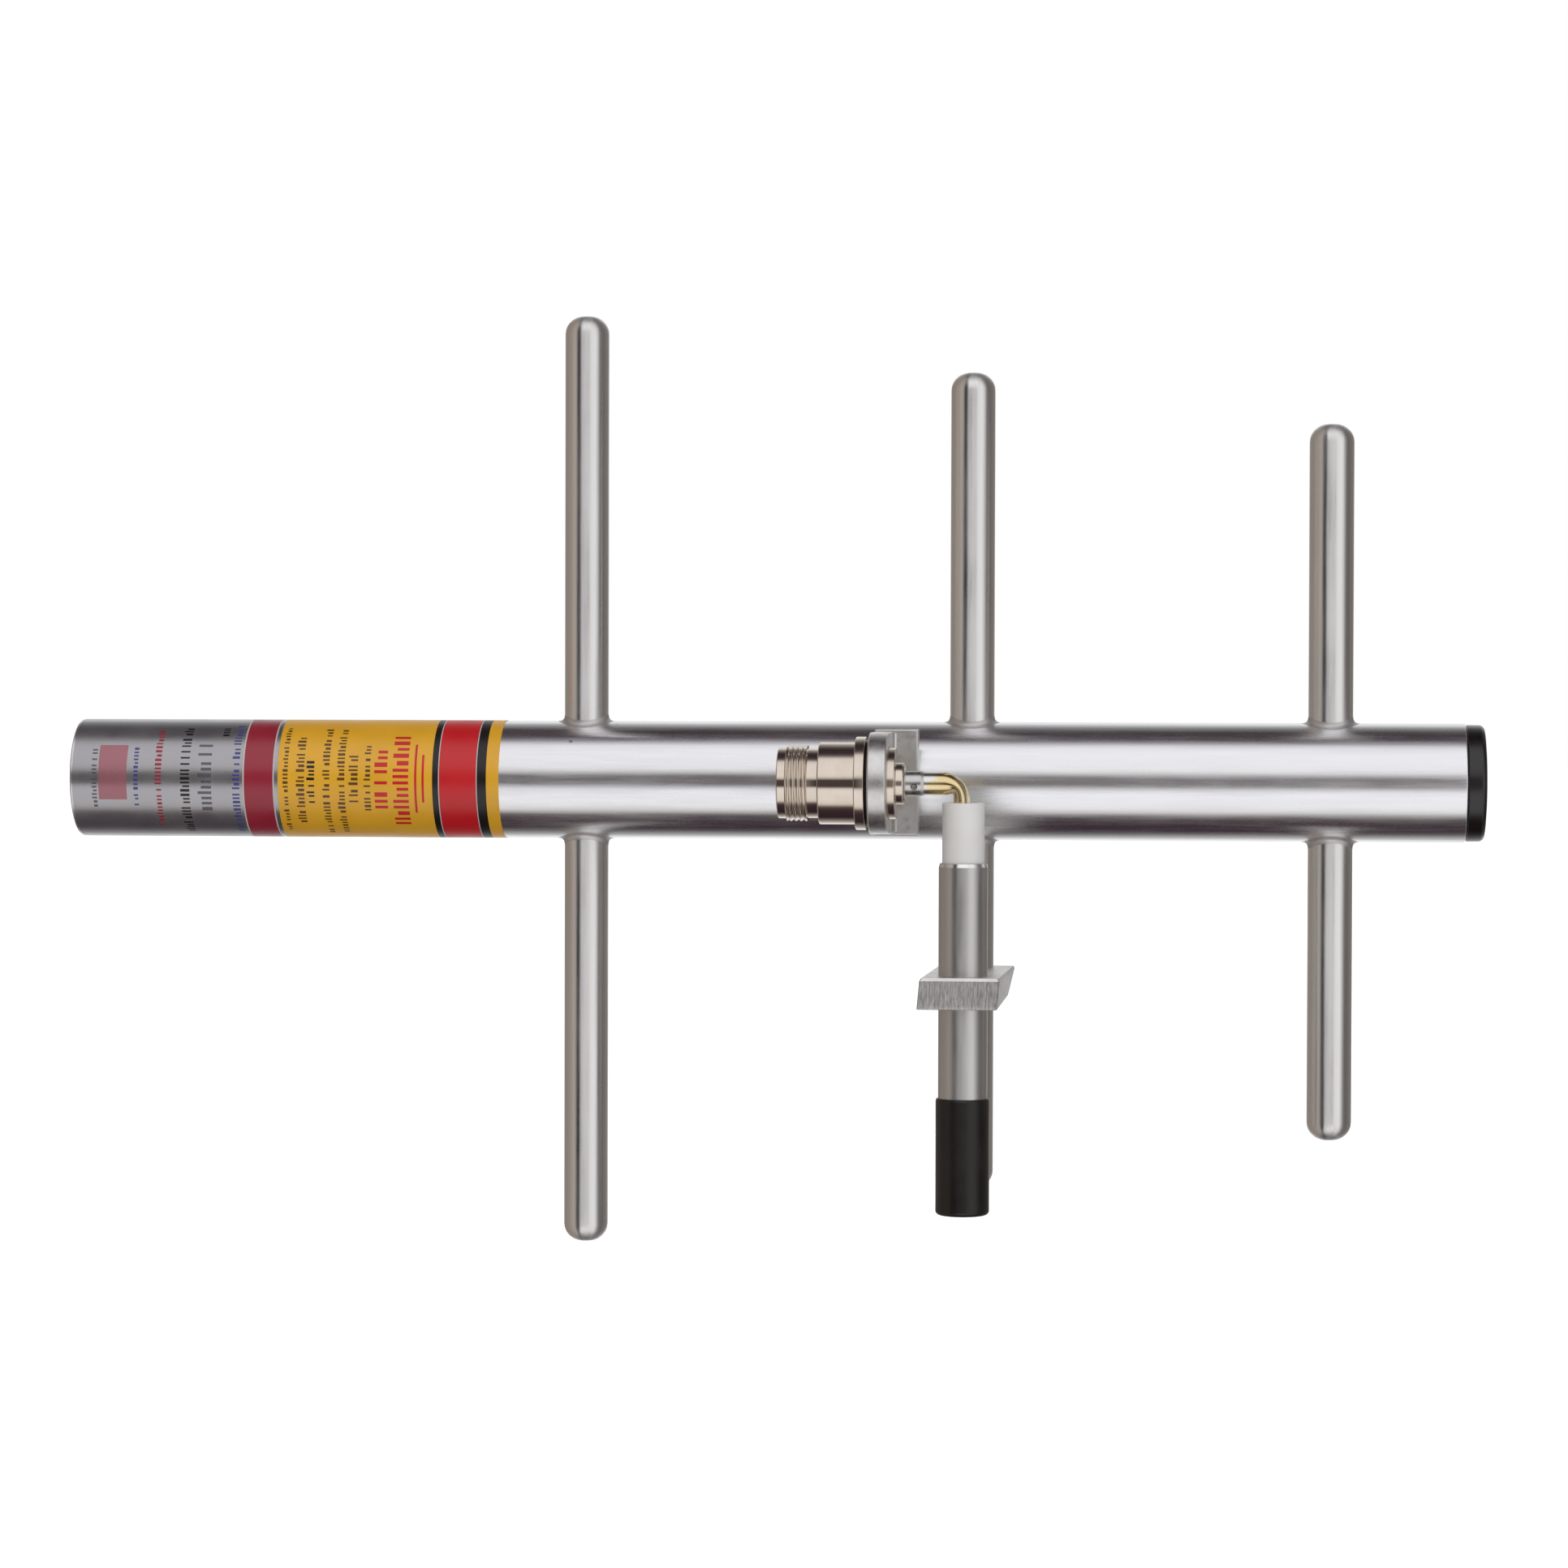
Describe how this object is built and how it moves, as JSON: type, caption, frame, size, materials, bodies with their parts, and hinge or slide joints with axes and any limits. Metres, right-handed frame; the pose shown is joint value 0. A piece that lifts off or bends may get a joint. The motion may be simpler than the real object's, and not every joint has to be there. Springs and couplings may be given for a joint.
{
  "type": "yagi antenna",
  "caption": "Welded aluminium yagi antenna with a gamma match, an N-type jack on a bracket, and a sliding tuning clamp.",
  "frame": {"origin": "on the boom's axis, at the boom's rear (mast) end face", "axes": "+X forward along the boom towards the director, +Z along the elements, the gamma match and the jack on the -Y side"},
  "size_m": [0.3045, 0.0525, 0.2004],
  "materials": {
    "boom_aluminium": "satin drawn tube, fine lengthwise drawing lines",
    "rod_aluminium": "satin drawn rod, ends machined round",
    "weld_aluminium": "welded fillet, faint ripples",
    "bracket_aluminium": "matt tumbled plate",
    "clamp_aluminium": "sawn and brushed block",
    "gamma_aluminium": "satin drawn tube",
    "black_plastic": "black polyethylene, slightly shiny",
    "black_vinyl": "black dipped vinyl",
    "nickel": "bright nickel plate on brass",
    "ptfe": "translucent white PTFE",
    "gold_contact": "plated contact metal",
    "brass_rod": "bright drawn brass",
    "rubber_gasket": "black rubber",
    "solder": "dull solder",
    "screw_steel": "black-oxide steel",
    "grey_label_film": "printed silver-grey film, satin",
    "yellow_label_film": "printed yellow film, semi-gloss"
  },
  "bodies": {
    "antenna": {"boom_tube": "boom_aluminium", "front_end_cap": "black_plastic", "rear_end_plug": "black_plastic", "reflector_element": "rod_aluminium", "driven_element": "rod_aluminium", "director_element": "rod_aluminium", "reflector_welds": "weld_aluminium", "driven_welds": "weld_aluminium", "director_welds": "weld_aluminium", "connector_bracket": "bracket_aluminium", "bracket_welds": "weld_aluminium", "connector_body": "nickel", "connector_gasket": "rubber_gasket", "connector_dielectric": "ptfe", "connector_center_contact": "gold_contact", "solder_joint": "solder", "gamma_rod": "brass_rod", "ptfe_sleeve": "ptfe", "grey_label": "grey_label_film", "yellow_label": "yellow_label_film"},
    "sliding_tube": {"gamma_tube": "gamma_aluminium", "gamma_end_cap": "black_vinyl"},
    "clamp": {"tuning_clamp": "clamp_aluminium"},
    "element_screw": {"element_set_screw": "screw_steel"},
    "tube_screw": {"tube_set_screw": "screw_steel"}
  },
  "joints": [
    {"name": "gamma_tube_slide", "type": "slide", "parent": "antenna", "child": "sliding_tube", "axis": [0, 0, 1], "range_m": [-0.004, 0.005]},
    {"name": "clamp_slide", "type": "slide", "parent": "antenna", "child": "clamp", "axis": [0, 0, 1], "range_m": [-0.012, 0.018]},
    {"name": "element_screw_turn", "type": "hinge", "parent": "clamp", "child": "element_screw", "pos_m": [0.187, 0, -0.0435], "axis": [-1, 0, 0], "range_deg": [0, 720]},
    {"name": "tube_screw_turn", "type": "hinge", "parent": "clamp", "child": "tube_screw", "pos_m": [0.1865, -0.029, -0.0435], "axis": [-1, 0, 0], "range_deg": [0, 720]}
  ]
}
